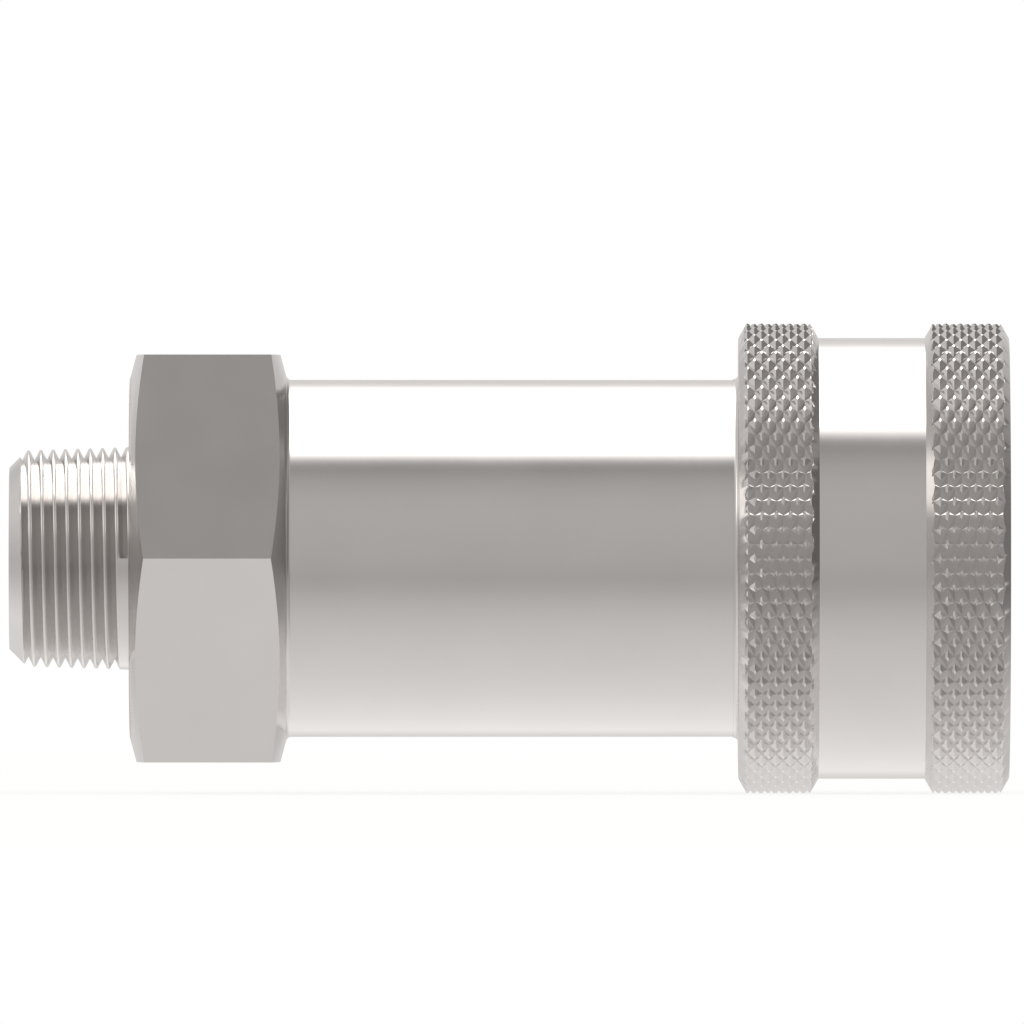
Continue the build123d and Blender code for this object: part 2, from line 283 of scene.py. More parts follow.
def arc(centre: Pair, radius: float, start: float, end: float, steps: int) -> Outline:
    """Points on an arc in an outline.

    Args:
        centre: The arc's centre as (x, radius).
        radius: Its radius.
        start: Where it starts, in degrees from +X towards larger radii.
        end: Where it ends.
        steps: Its spans.

    Returns:
        The points, both ends among them.
    """
    angles = np.radians(np.linspace(start, end, steps + 1))
    across = centre[0] + radius * np.cos(angles)
    up = centre[1] + radius * np.sin(angles)
    return list(zip(across.tolist(), up.tolist()))


def area(outline: Outline) -> float:
    """Signed area of a closed outline; above 0 when it runs anticlockwise.

    Args:
        outline: The corners.

    Returns:
        The area.
    """
    x, r = np.array(outline).T
    return 0.5 * float(np.sum(x * np.roll(r, -1) - np.roll(x, -1) * r))


def turn_angles(columns: int) -> np.ndarray:
    """Evenly spaced angles round the axis, in radians."""
    return np.arange(columns) * 2 * np.pi / columns


def shaped_patch(rows: Sequence[tuple], angle: np.ndarray, outward: bool = True) -> Patch:
    """Carry rows of (x, radius) round the axis.

    Args:
        rows: The rows; x and radius are one number each, or one for each angle.
        angle: Angles round the axis, in radians.
        outward: False turns every face over.

    Returns:
        The patch. With rows that run towards larger x on the outside, it faces outwards.
    """
    x, radius = ([np.broadcast_to(value, angle.shape) for value in part] for part in zip(*rows))
    return grid_patch(around(np.stack(x), np.stack(radius), angle[None, :]), outward=outward)


def turned(name: str, outline: Outline, columns: int = 192) -> bpy.types.Object:
    """A turned piece from one closed outline.

    Args:
        name: The piece's name.
        outline: Its section.
        columns: Faces round the axis.

    Returns:
        The object.
    """
    clockwise = area(outline) < 0
    patch = shaped_patch(outline + outline[:1], turn_angles(columns), outward=clockwise)
    return make_piece(name, [patch])


def swept_ring(name: str, outline: Outline, gap: float, columns: int = 160) -> bpy.types.Object:
    """A split ring: an outline carried round the axis from one side of a gap at +Z to the other.

    Args:
        name: The piece's name.
        outline: Its section, clockwise.
        gap: The gap's width in degrees.
        columns: Faces along the ring.

    Returns:
        The object.
    """
    x, radius = np.array(outline + outline[:1]).T
    angle = np.radians(90 + gap / 2 + np.linspace(0, 360 - gap, columns + 1))
    points = around(x[:, None], radius[:, None], angle[None, :])
    middle = np.array(outline).mean(axis=0)
    ends = [around(middle[0], middle[1], angle[side]) for side in (0, -1)]
    caps = [np.broadcast_to(end, (len(x), 1, 3)) for end in ends]
    points = np.concatenate([caps[0], points, caps[1]], axis=1)
    return make_piece(name, [grid_patch(points, wrap=False)])


def hexagon_radius(across_flats: float, angle: np.ndarray) -> np.ndarray:
    """Distance from the axis to a hexagon's side: half across flats / cos(angle from the flat).

    Args:
        across_flats: Its size across flats.
        angle: Angles round the axis in radians. A flat faces +Z.

    Returns:
        The distances.
    """
    from_flat = np.radians(np.mod(np.degrees(angle) + ROUNDING, 60.0) - 30.0)
    return across_flats / 2 / np.cos(from_flat)


# Shader maths


class Socket:
    """A node output on which Python's operators add Math nodes."""

    def __init__(self, shader: "Shader", output: bpy.types.NodeSocket) -> None:
        """Wrap one output of one tree."""
        self.shader = shader
        self.output = output

    def _math(self, operation: str, *values: "Socket | float") -> "Socket":
        """Add a Math node with these inputs and wrap its result."""
        node = self.shader.tree.nodes.new("ShaderNodeMath")
        node.operation = operation
        for slot, value in zip(node.inputs, values):
            self.shader.fill(slot, value)
        return self.shader.socket(node)

    def __add__(self, other: "Socket | float") -> "Socket":
        """Sum."""
        return self._math("ADD", self, other)

    def __sub__(self, other: "Socket | float") -> "Socket":
        """Difference."""
        return self._math("SUBTRACT", self, other)

    def __rsub__(self, other: float) -> "Socket":
        """Difference from a number on the left."""
        return self._math("SUBTRACT", other, self)

    def __mul__(self, other: "Socket | float") -> "Socket":
        """Product."""
        return self._math("MULTIPLY", self, other)

    def __neg__(self) -> "Socket":
        """Negative."""
        return self * -1.0

    def larger(self, other: "Socket | float") -> "Socket":
        """The larger of two values."""
        return self._math("MAXIMUM", self, other)

    def direction(self, other: "Socket | float") -> "Socket":
        """Angle of the point (other, self), from -pi to pi."""
        return self._math("ARCTAN2", self, other)

    def rise(self, low: float, high: float) -> "Socket":
        """Ease from 0 where the value is low to 1 where it is high."""
        settings = {"interpolation_type": "SMOOTHSTEP"}
        node = self.shader.node(
            "ShaderNodeMapRange", settings, Value=self, From_Min=low, From_Max=high
        )
        return self.shader.socket(node, "Result")

    def fall(self, low: float, high: float) -> "Socket":
        """Ease from 1 where the value is low to 0 where it is high."""
        return 1.0 - self.rise(low, high)


class Shader:
    """Adds nodes to a material's or the world's tree."""

    def __init__(self, owner: bpy.types.Material | bpy.types.World) -> None:
        """Start with an empty tree."""
        owner.use_nodes = True
        self.tree = owner.node_tree
        self.tree.nodes.clear()

    def node(
        self, kind: str, settings: dict[str, object] | None = None, **inputs: object
    ) -> bpy.types.Node:
        """Add a node, set it up and fill its sockets.

        Args:
            kind: The node's type.
            settings: Its own settings, set before the sockets. A ramp's "stops" are pairs of
                place and grey.
            inputs: Values or links for its sockets, by name with _ for a space, or by
                identifier where names repeat.

        Returns:
            The node.
        """
        node = self.tree.nodes.new(kind)
        for name, value in (settings or {}).items():
            if name == "stops":
                self._set_stops(node.color_ramp, value)
            else:
                setattr(node, name, value)
        by_identifier = {slot.identifier: slot for slot in node.inputs}
        for name, value in inputs.items():
            spaced = name.replace("_", " ")
            self.fill(node.inputs[spaced] if spaced in node.inputs else by_identifier[name], value)
        return node

    def fill(self, slot: bpy.types.NodeSocket, value: object) -> None:
        """Link a socket to an output, or give it a number, vector or colour."""
        if isinstance(value, Socket):
            value = value.output
        if isinstance(value, bpy.types.NodeSocket):
            self.tree.links.new(value, slot)
        else:
            slot.default_value = value

    def _set_stops(self, ramp: bpy.types.ColorRamp, stops: Sequence[Pair]) -> None:
        """Give a ramp its stops, which are pairs of place and grey."""
        while len(ramp.elements) < len(stops):
            ramp.elements.new(0.5)
        for element, (place, grey) in zip(ramp.elements, stops):
            element.position = place
            element.color = (grey, grey, grey, 1.0)

    def socket(self, node: bpy.types.Node, output: int | str = 0) -> Socket:
        """Wrap a node's output."""
        return Socket(self, node.outputs[output])

    def ramp(self, value: Socket, low: float, high: float, curve: Curve) -> Socket:
        """A curve through points, as straight spans between them.

        Args:
            value: What the curve reads.
            low: The value at the ramp's left end.
            high: The value at its right end.
            curve: Pairs of value and height, in rising order.

        Returns:
            The curve's height.
        """
        share = (value - low) * (1.0 / (high - low))
        stops = [((place - low) / (high - low), top / HIGHEST_LIGHT) for place, top in curve]
        node = self.node("ShaderNodeValToRGB", {"stops": stops}, Fac=share)
        return self.socket(node) * HIGHEST_LIGHT

    def blend(self, factor: Socket, first: Triple, second: Triple) -> Socket:
        """Mix two colours.

        Args:
            factor: 0 gives the first, 1 the second.
            first: A colour.
            second: A colour.

        Returns:
            The mixed colour.
        """
        ends = {"A_Color": (*first, 1.0), "B_Color": (*second, 1.0)}
        node = self.node("ShaderNodeMix", {"data_type": "RGBA"}, Factor_Float=factor, **ends)
        return Socket(self, next(out for out in node.outputs if out.identifier == "Result_Color"))

    def noise(self, size: float, detail: float = 3.0, stretch: Triple = (1.0, 1.0, 1.0)) -> Socket:
        """Noise on Object coordinates.

        Args:
            size: Size of its blots in millimetres.
            detail: Octaves.
            stretch: How much faster it changes along each axis.

        Returns:
            The noise, about 0.5 on average.
        """
        place = self.node("ShaderNodeTexCoord").outputs["Object"]
        scale = tuple(share / (size * MM) for share in stretch)
        mapping = self.node("ShaderNodeMapping", Vector=place, Scale=scale)
        noise = self.node(
            "ShaderNodeTexNoise", Vector=mapping.outputs[0], Scale=1.0, Detail=detail
        )
        return self.socket(noise, "Fac")

    def surface(self, relief: Socket, strength: float, height: float, **inputs: object) -> None:
        """End a material: a Principled shader whose normals follow a relief.

        Args:
            relief: The relief, from 0 to 1.
            strength: How strongly it turns the normals.
            height: Its height in millimetres.
            inputs: The shader's own sockets.
        """
        bump = self.node("ShaderNodeBump", Strength=strength, Distance=height * MM, Height=relief)
        surface = self.node("ShaderNodeBsdfPrincipled", Normal=bump.outputs[0], **inputs)
        self.node("ShaderNodeOutputMaterial", Surface=surface.outputs[0])


def shades(colour: Triple, darker: float, lighter: float) -> tuple[Triple, Triple]:
    """A colour made darker and lighter.

    Args:
        colour: The colour.
        darker: The share taken off.
        lighter: The share added.

    Returns:
        The dark and the light colour.
    """
    dark = tuple(part * (1.0 - darker) for part in colour)
    return dark, tuple(min(1.0, part * (1.0 + lighter)) for part in colour)


@dataclass(frozen=True)
class Metal:
    """Bare or plated metal with fine machining marks.

    The marks are noise that changes fast along one way and slowly along the others, which
    gives rings round the axis on turned pieces.
    """

    name: str
    colour: Triple
    roughness: float
    mark_size: float = 0.18
    mark_height: float = 0.0006
    mark_strength: float = 0.35
    marks: Triple = (1.0, 0.004, 0.004)
    unevenness: float = 0.03
    cloud_size: float = 14.0
    cloud_tone: float = 1.2
    cloud_roughness: float = 0.5
    speck_size: float = 0.35
    speck_tone: float = 0.3
    speck_roughness: float = 0.35

    def build(self) -> bpy.types.Material:
        """Make the material."""
        material = bpy.data.materials.new(self.name)
        shader = Shader(material)
        clouds = shader.noise(self.cloud_size) - 0.5
        specks = shader.noise(self.speck_size, 2.0) - 0.5
        marks = shader.noise(self.mark_size, stretch=self.marks)
        tone = clouds * self.cloud_tone + specks * self.speck_tone + 0.5
        worn = clouds * self.cloud_roughness + specks * self.speck_roughness + 1.0
        shader.surface(
            marks,
            self.mark_strength,
            self.mark_height,
            Base_Color=shader.blend(tone, *shades(self.colour, self.unevenness, self.unevenness)),
            Metallic=1.0,
            Roughness=worn * self.roughness,
        )
        return material


@dataclass(frozen=True)
class Moulded:
    """Rubber or plastic with a fine moulded skin."""

    name: str
    colour: Triple
    roughness: float
    grain_size: float = 0.12
    grain_height: float = 0.006
    grain_strength: float = 0.6
    grain_tone: float = 0.3
    cloud_size: float = 6.0
    cloud_tone: float = 0.7
    cloud_roughness: float = 0.15
    darker: float = 0.18
    lighter: float = 0.12

    def build(self) -> bpy.types.Material:
        """Make the material."""
        material = bpy.data.materials.new(self.name)
        shader = Shader(material)
        clouds = shader.noise(self.cloud_size)
        grain = shader.noise(self.grain_size)
        tone = clouds * self.cloud_tone + grain * self.grain_tone
        shader.surface(
            grain,
            self.grain_strength,
            self.grain_height,
            Base_Color=shader.blend(tone, *shades(self.colour, self.darker, self.lighter)),
            Roughness=(clouds - 0.5) * self.cloud_roughness + self.roughness,
        )
        return material


FINISHES: dict[Slot, Metal | Moulded] = {
    Slot.BODY: Metal("turned_body_steel", (0.7, 0.683, 0.672), 0.12),
    Slot.SLEEVE: Metal("turned_sleeve_steel", (0.7, 0.683, 0.672), 0.12),
    Slot.VALVE: Metal("turned_valve_steel", (0.62, 0.62, 0.61), 0.2, mark_height=0.0012),
    Slot.WASHER: Metal("ground_washer_steel", (0.55, 0.55, 0.54), 0.25, marks=(1.0, 1.0, 0.05)),
    Slot.SPRING: Metal("drawn_spring_steel", (0.5, 0.5, 0.505), 0.26, marks=(0.08, 0.08, 0.08)),
    Slot.BALL: Metal("polished_ball_steel", (0.75, 0.75, 0.75), 0.05, mark_height=0.0002),
    Slot.RUBBER: Moulded("black_seal_rubber", (0.028, 0.028, 0.03), 0.5),
    Slot.PLASTIC: Moulded("pale_backup_plastic", (0.8, 0.78, 0.71), 0.42),
}


class Workshop:
    """Dresses pieces and hangs them on the frame's bodies."""

    def __init__(self, frame: dict) -> None:
        """Make every finish once."""
        self.frame = frame
        self.materials = {slot: finish.build() for slot, finish in FINISHES.items()}
        self.body_of = {
            node: body
            for body, nodes in frame["record"]["behaviour"]["bodies"].items()
            for node in nodes
        }

    def fit(self, piece: bpy.types.Object, slot: Slot, node: str) -> bpy.types.Object:
        """Finish a piece that stands for a CAD node.

        Args:
            piece: The new piece.
            slot: Its finish.
            node: The CAD node it replaces.

        Returns:
            The piece.
        """
        piece.data.materials.clear()
        piece.data.materials.append(self.materials[slot])
        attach(piece, self.body_of[node])
        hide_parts(node)
        faces = len(piece.data.polygons)
        LOG.info("%s: %d faces, rides on %s", piece.name, faces, self.body_of[node])
        return piece

    def dress(self, node: str, slot: Slot) -> None:
        """Give a CAD node that keeps its shape its finish.

        Args:
            node: The node's name.
            slot: Its finish.
        """
        carried = self.frame["nodes"][node]
        carried.data.materials.clear()
        carried.data.materials.append(self.materials[slot])
        LOG.info("%s keeps its CAD shape", node)


@dataclass(frozen=True)
class Span:
    """Where a CAD node lies: its two ends along the axis and its outer radius."""

    start: float
    end: float
    radius: float

    @classmethod
    def of(cls, node: str) -> "Span":
        """Read a node's box."""
        low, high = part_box(node)
        return cls(low.x / MM, high.x / MM, -low.z / MM)


# The pieces


@dataclass(frozen=True)
class TaperThread:
    """Right-hand taper pipe thread of 55 degrees, with rounded crests and sharp roots."""

    pitch: float = 25.4 / 11
    flank_angle: float = 27.5
    crest_rounding: float = 0.137278
    length: float = 22.52
    mid: float = 12.24
    mid_radius: float = 20.52
    taper: float = 1 / 32
    tip_radius: float = 17.0
    first_root: float = 2.385
    last_turn: int = 8
    last_angle: float = 180.0
    run_out: float = 1.5
    end_blend: float = 0.25
    height_share: float = 5 / 6
    flank_points: int = 5
    crest_shares: tuple[float, ...] = (0.8, 0.6, 0.4, 0.2)
    spare_turns: int = 3

    def crest(self, x: np.ndarray) -> np.ndarray:
        """Crest radius, which grows by the taper along the axis."""
        return self.mid_radius + (x - self.mid) * self.taper

    def depth(self, share: np.ndarray) -> np.ndarray:
        """Depth below the crests across one pitch.

        Two straight flanks meet in the root, five sixths of a sharp thread's height below the
        crest, and an arc of radius 0.137 of the pitch joins them on the crest.

        Args:
            share: Distance from the root's middle as a share of the pitch, from -0.5 to 0.5.

        Returns:
            The depth in millimetres.
        """
        radius = self.crest_rounding * self.pitch
        slope = 1 / np.tan(np.radians(self.flank_angle))
        height = self.pitch / 2 * slope * self.height_share
        reach = radius * np.cos(np.radians(self.flank_angle))
        away = np.abs(share) * self.pitch
        to_crest = self.pitch / 2 - away
        drop = radius - np.sqrt(np.maximum(radius**2 - np.minimum(to_crest, reach) ** 2, 0))
        return np.where(to_crest < reach, drop, height - away * slope)

    def radius(self, x: np.ndarray, angle: np.ndarray) -> np.ndarray:
        """Radius of the threaded surface.

        The groove follows x = first_root + pitch (angle - 90) / 360 and stops where its last
        turn meets last_angle. A 45 degree cone cuts the thread's tip.

        Args:
            x: Places along the axis.
            angle: Angles in degrees.

        Returns:
            The radius.
        """
        turns = (x - self.first_root) / self.pitch - (angle - 90.0) / 360.0
        turn = np.round(turns)
        along = angle + 360.0 * turn
        stop = self.last_angle + 360.0 * self.last_turn
        depth = self.depth(turns - turn)
        depth *= 1 - smoothstep(stop - self.run_out, stop, along)
        depth *= 1 - smoothstep(self.length - self.end_blend, self.length, x)
        return np.minimum(self.crest(x) - depth, self.tip_radius + x)

    def patch(self, columns: int) -> Patch:
        """The threaded surface, whose rows follow the helix and are clamped to its two ends.

        Args:
            columns: Faces round the axis.

        Returns:
            The patch, from the tip to the hexagon's face.
        """
        reach = self.crest_rounding * np.cos(np.radians(self.flank_angle))
        flank = np.linspace(0, 0.5 - reach, self.flank_points)
        half = np.concatenate([flank, 0.5 - reach * np.array(self.crest_shares)])
        shares = np.concatenate([half, 1 - np.append(half, 0.5)[:0:-1]])
        turns = np.arange(-self.spare_turns, int(self.length / self.pitch) + self.spare_turns)
        rows = (turns[:, None] + shares[None, :]).ravel()
        angle = np.arange(columns) * 360.0 / columns
        x = self.first_root + self.pitch * (rows[:, None] + (angle[None, :] - 90.0) / 360.0)
        x = np.clip(x, 0.0, self.length)
        points = around(x, self.radius(x, angle[None, :]), np.radians(angle)[None, :])
        return grid_patch(points, step=len(shares))


@dataclass(frozen=True)
class RearBody:
    """Thread, hexagon and tube in one piece, bored through."""

    thread: TaperThread = field(default_factory=TaperThread)
    columns: int = 240
    across_flats: float = 76.2
    hexagon_length: float = 29.45
    chamfer_angle: float = 15.0
    fillet: float = 1.0
    tube_radius: float = 33.415
    port_radius: float = 13.5
    shelf_radius: float = 21.915
    chamber_radius: float = 23.415
    counterbore_radius: float = 27.465
    counterbore_depth: float = 18.5
    groove_radius: float = 25.315
    groove_start: float = 103.99
    groove_end: float = 105.54
    shelf: float = 99.94
    passage: float = 57.94
    port_chamfer: float = 0.8
    edge: float = 0.3
    fillet_steps: int = 6
    sharp: float = 28.0

    def build(self, shop: Workshop) -> None:
        """Make the piece and hang it on its body.

        Args:
            shop: The workshop that dresses it.
        """
        tube_front = Span.of("rear_body").end
        angle = turn_angles(self.columns)
        side = hexagon_radius(self.across_flats, angle)
        slope = np.tan(np.radians(self.chamfer_angle))
        start, end = self.thread.length, self.thread.length + self.hexagon_length
        bevel = (side - self.tube_radius) * slope
        reach = self.fillet / np.tan(np.radians(90 + self.chamfer_angle) / 2)
        centre = (end + reach, self.tube_radius + self.fillet)
        hollow = arc(centre, self.fillet, 180 + self.chamfer_angle, 270, self.fillet_steps)
        crest = float(self.thread.crest(np.array(start)))
        halfway = 0.5 * (crest + self.tube_radius)
        rows = [(start, crest), (start, halfway), (start, self.tube_radius)]
        rows += [(start + bevel * 0.5, 0.5 * (side + self.tube_radius)), (start + bevel, side)]
        rows += [(end - bevel, side)] + hollow + self.inside(tube_front)
        hexagon = shaped_patch(rows, angle)
        patches = [self.thread.patch(self.columns), hexagon]
        piece = make_piece("threaded_body", patches, self.sharp)
        shop.fit(piece, Slot.BODY, "rear_body")

    def inside(self, tube_front: float) -> Outline:
        """The tube's front end and the bore, from the front back to the thread's tip.

        Args:
            tube_front: Where the tube ends.

        Returns:
            The outline's points.
        """
        counterbore_end = tube_front - self.counterbore_depth
        cone_start = self.passage - (self.shelf_radius - self.port_radius)
        corners = [
            (tube_front, self.tube_radius),
            (tube_front, self.counterbore_radius),
            (counterbore_end, self.counterbore_radius),
            (counterbore_end, self.chamber_radius),
            (self.groove_end, self.chamber_radius),
            (self.groove_end, self.groove_radius),
            (self.groove_start, self.groove_radius),
            (self.groove_start, self.chamber_radius),
            (self.shelf, self.chamber_radius),
            (self.shelf, self.shelf_radius),
            (self.passage, self.shelf_radius),
            (cone_start, self.port_radius),
            (self.port_chamfer, self.port_radius),
            (0.0, self.port_radius + self.port_chamfer),
            (0.0, self.thread.tip_radius),
        ]
        eases = [self.edge] * (len(corners) - 3) + [0.0, 0.0, 0.0]
        return eased(corners, eases)


@dataclass(frozen=True)
class Knurl:
    """Diamond knurl of small pyramids with flat tips.

    The tips stand half a column apart round the axis and half a pitch apart along it. With
    p and q the distances from a tip in those halves, a pyramid's height is
    1 - max(|p + q|, |p - q|), cut off at 1 - flat.
    """

    crest: float = 43.95
    foot: float = 41.24
    diamonds: int = 50
    pitch: float = 2.66
    slope_depth: float = 1.3
    flat: float = 0.2
    first_tip: float = 2.92
    chamfer_angle: float = 60.0
    halvings: int = 40

    def steps(self) -> np.ndarray:
        """Places of the grid's lines within half a pyramid: the tip's edge, middle and foot."""
        return np.array([0.0, self.flat, 0.5, 1 - self.flat])

    def angles(self) -> np.ndarray:
        """The grid's angles round the axis, in radians."""
        halves = np.arange(2 * self.diamonds)
        return (halves[:, None] + self.steps()[None, :]).ravel() * np.pi / self.diamonds

    def radius(self, x: np.ndarray, angle: np.ndarray) -> np.ndarray:
        """Radius of the knurled surface.

        Args:
            x: Places along the axis, from a place where a tip stands at angle 0.
            angle: Angles in radians.

        Returns:
            The radius.
        """
        p, q = angle * self.diamonds / np.pi, x / (self.pitch / 2)
        sides = [np.abs(way - 2 * np.round(way / 2)) for way in (p + q, p - q)]
        height = 1 - np.maximum(*sides)
        return self.crest - self.slope_depth * np.maximum(1 - self.flat - height, 0)

    def rim(self, face: float, way: float) -> np.ndarray:
        """Where the cone from one face of a band meets the knurl, by halving a span.

        Args:
            face: The face, from the same place as in radius.
            way: 1 where the band lies on the face's +X side, else -1.

        Returns:
            The places along the axis, one for each of the grid's angles.
        """
        angle = self.angles()
        slope = np.tan(np.radians(self.chamfer_angle))
        low, high = np.zeros_like(angle), np.full_like(angle, (self.crest - self.foot) / slope)
        for _ in range(self.halvings):
            middle = 0.5 * (low + high)
            under = self.foot + middle * slope < self.radius(face + way * middle, angle)
            low, high = np.where(under, middle, low), np.where(under, high, middle)
        return face + way * 0.5 * (low + high)

    def patches(self, start: float, end: float, origin: float) -> list[Patch]:
        """One band: a cone up at each end and the knurl between, cut off along the cones.

        Args:
            start: The band's first face.
            end: Its last face.
            origin: A place along the axis where a tip stands at angle 0.

        Returns:
            The band's patches.
        """
        angle = self.angles()
        left, right = self.rim(start - origin, 1.0), self.rim(end - origin, -1.0)
        first = int(np.floor((start - origin) / (self.pitch / 2)))
        last = int(np.ceil((end - origin) / (self.pitch / 2)))
        q = (np.arange(first, last + 1)[:, None] + self.steps()[None, :]).ravel()
        x = np.clip(q[:, None] * self.pitch / 2, left[None, :], right[None, :])
        points = around(origin + x, self.radius(x, angle[None, :]), angle[None, :])
        rows, columns = x.shape
        quads = grid_faces(rows, columns)[:, ::-1]
        row, column = np.divmod(np.arange((rows - 1) * columns), columns)
        lines = len(self.steps())
        tip_first = ((row // lines + first + column // lines) % 2 == 0)[:, None]
        across = np.where(tip_first, quads[:, [0, 1, 2]], quads[:, [0, 1, 3]])
        rest = np.where(tip_first, quads[:, [0, 2, 3]], quads[:, [1, 2, 3]])
        knurled = Patch(points.reshape(-1, 3), np.concatenate([across, rest]), smooth=False)
        cones = []
        for face, rim, order in ((start, points[0], 1), (end, points[-1], -1)):
            ring = around(face, self.foot, angle)
            cones.append(grid_patch(np.stack([ring, rim][::order])))
        return [cones[0], knurled, cones[1]]


@dataclass(frozen=True)
class LockingSleeve:
    """The knurled sleeve: two bands, the waist between them and the cam inside."""

    knurl: Knurl = field(default_factory=Knurl)
    rear_band: float = 14.98
    waist: float = 19.88
    lip: float = 1.0
    lip_edge: float = 0.05
    lip_steps: int = 6
    bore: float = 33.495
    land_start: float = 168.975
    land_radius: float = 29.465
    cam_start: float = 175.46
    cam_radius: float = 30.91
    shoulder: float = 182.05
    counterbore: float = 32.415
    mouth_chamfer: float = 0.5
    sharp: float = 26.0

    def build(self, shop: Workshop) -> None:
        """Make the piece and hang it on its body.

        Args:
            shop: The workshop that dresses it.
        """
        span = Span.of("sleeve")
        face = span.start + self.lip
        foot, rise = face + self.rear_band, face + self.rear_band + self.waist
        origin = face + self.knurl.first_tip
        patches = self.knurl.patches(face, foot, origin)
        patches += self.knurl.patches(rise, span.end, origin)
        places = (foot, 0.5 * (foot + rise), rise)
        angle = self.knurl.angles()
        patches.append(shaped_patch([(x, self.knurl.foot) for x in places], angle))
        inside = [
            (span.end, self.counterbore + self.mouth_chamfer),
            (span.end - self.mouth_chamfer, self.counterbore),
            (self.shoulder, self.counterbore),
            (self.shoulder, self.cam_radius),
            (self.cam_start, self.land_radius),
            (self.land_start, self.land_radius),
            (self.land_start, self.bore),
            (span.start, self.bore),
        ]
        centre = (span.start, self.bore + self.lip_edge + self.lip)
        lip = arc(centre, self.lip, -90, 0, self.lip_steps)
        rim = [(span.end, self.knurl.foot)] + inside + lip + [(face, self.knurl.foot)]
        patches.append(shaped_patch(rim, angle))
        piece = make_piece("knurled_sleeve", patches, self.sharp)
        shop.fit(piece, Slot.SLEEVE, "sleeve")


@dataclass(frozen=True)
class Nose:
    """Front body and valve guide, which keep the shapes of the CAD model."""

    finishes: tuple[tuple[str, Slot], ...] = (
        ("front_body", Slot.BODY),
        ("valve_guide", Slot.VALVE),
    )

    def build(self, shop: Workshop) -> None:
        """Dress both pieces.

        Args:
            shop: The workshop that dresses them.
        """
        for node, slot in self.finishes:
            shop.dress(node, slot)


@dataclass(frozen=True)
class LockingBalls:
    """The ring of balls that holds the plug."""

    radius: float = 4.7625
    columns: int = 40
    rows: int = 20
    sharp: float = 60.0

    def build(self, shop: Workshop) -> None:
        """Make each ball where its CAD node is.

        Points are x = radius cos(a), and radius sin(a) from the ball's own axis along X.

        Args:
            shop: The workshop that dresses it.
        """
        names = sorted(name for name in shop.frame["nodes"] if name.startswith("lock_ball"))
        tilt = np.linspace(np.pi, 0.0, self.rows + 1)
        spin = turn_angles(self.columns)
        along, away = self.radius * np.cos(tilt), self.radius * np.sin(tilt)
        shape = around(along[:, None], away[:, None], spin[None, :])
        for name in names:
            low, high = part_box(name)
            centre = np.array((low + high) / 2) / MM
            ball = [grid_patch(shape + centre)]
            shop.fit(make_piece(name.replace("lock_", "steel_"), ball, self.sharp), Slot.BALL, name)


@dataclass(frozen=True)
class CoilSpring:
    """A compression spring with closed, ground ends.

    The wire's middle runs on x(t), radius cos t, radius sin t. The pitch is closed_pitch wires
    over the first and last turn and even between them, with smooth changes.
    """

    node: str
    piece: str
    joint: str
    travel: float
    radius: float
    wire: float
    turns: float
    sides: int = 16
    steps_per_turn: int = 56
    opening: Pair = (0.8, 1.3)
    closed_pitch: float = 1.04
    sharp: float = 40.0

    def build(self, shop: Workshop) -> None:
        """Make the spring and hang it on its body.

        Args:
            shop: The workshop that dresses it.
        """
        span = Span.of(self.node)
        count = int(self.turns * self.steps_per_turn)
        turn = np.linspace(0.0, self.turns, count + 1)
        opened = smoothstep(*self.opening, turn) * smoothstep(*self.opening, self.turns - turn)
        closed_rise = self.closed_pitch * self.wire * (turn[1] - turn[0])
        middle = 0.5 * (opened[1:] + opened[:-1])
        # A quarter of the wire is ground away at each end.
        length = span.end - span.start - 0.5 * self.wire
        spare = (length - closed_rise * count) / middle.sum()
        rise = np.concatenate([[0.0], np.cumsum(closed_rise + spare * middle)])
        x = span.start + 0.25 * self.wire + rise
        spin = 2 * np.pi * turn
        path = around(x, np.full_like(x, self.radius), spin)
        tangent = np.gradient(path, axis=0)
        tangent /= np.linalg.norm(tangent, axis=1, keepdims=True)
        outward = around(np.zeros_like(x), np.ones_like(x), spin)
        beside = np.cross(tangent, outward)
        ring = turn_angles(self.sides)
        section = np.cos(ring)[:, None, None] * outward + np.sin(ring)[:, None, None] * beside
        points = path[None] + 0.5 * self.wire * section
        points = np.concatenate([points, points[:1]])
        points[..., 0] = np.clip(points[..., 0], span.start, span.end)
        ends = [points[:-1, side].mean(axis=0) for side in (0, -1)]
        caps = [np.broadcast_to(end, (self.sides + 1, 1, 3)) for end in ends]
        points = np.concatenate([caps[0], points, caps[1]], axis=1)
        piece = make_piece(self.piece, [grid_patch(points, wrap=False)], self.sharp)
        shop.fit(piece, Slot.SPRING, self.node)
        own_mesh(piece)


@dataclass(frozen=True)
class Seals:
    """The rubber rings that seal on the plug and between the bodies."""

    plug_section: float = 3.5
    body_groove: float = 25.355
    plug_steps: int = 28
    body_steps: int = 24

    def build(self, shop: Workshop) -> None:
        """Make the rings.

        Args:
            shop: The workshop that dresses them.
        """
        plug = Span.of("plug_seal")
        half = self.plug_section / 2
        centre = (0.5 * (plug.start + plug.end), plug.radius - half)
        circle = arc(centre, half, 180, -180, self.plug_steps)[:-1]
        shop.fit(turned("plug_seal_ring", circle), Slot.RUBBER, "plug_seal")
        body = Span.of("body_seal")
        oval = np.array(arc((0.0, 0.0), 1.0, 180, -180, self.body_steps)[:-1])
        oval *= [(body.end - body.start) / 2, (body.radius - self.body_groove) / 2]
        oval += [(body.end + body.start) / 2, (body.radius + self.body_groove) / 2]
        squeezed = turned("body_seal_ring", [tuple(point) for point in oval.tolist()])
        shop.fit(squeezed, Slot.RUBBER, "body_seal")

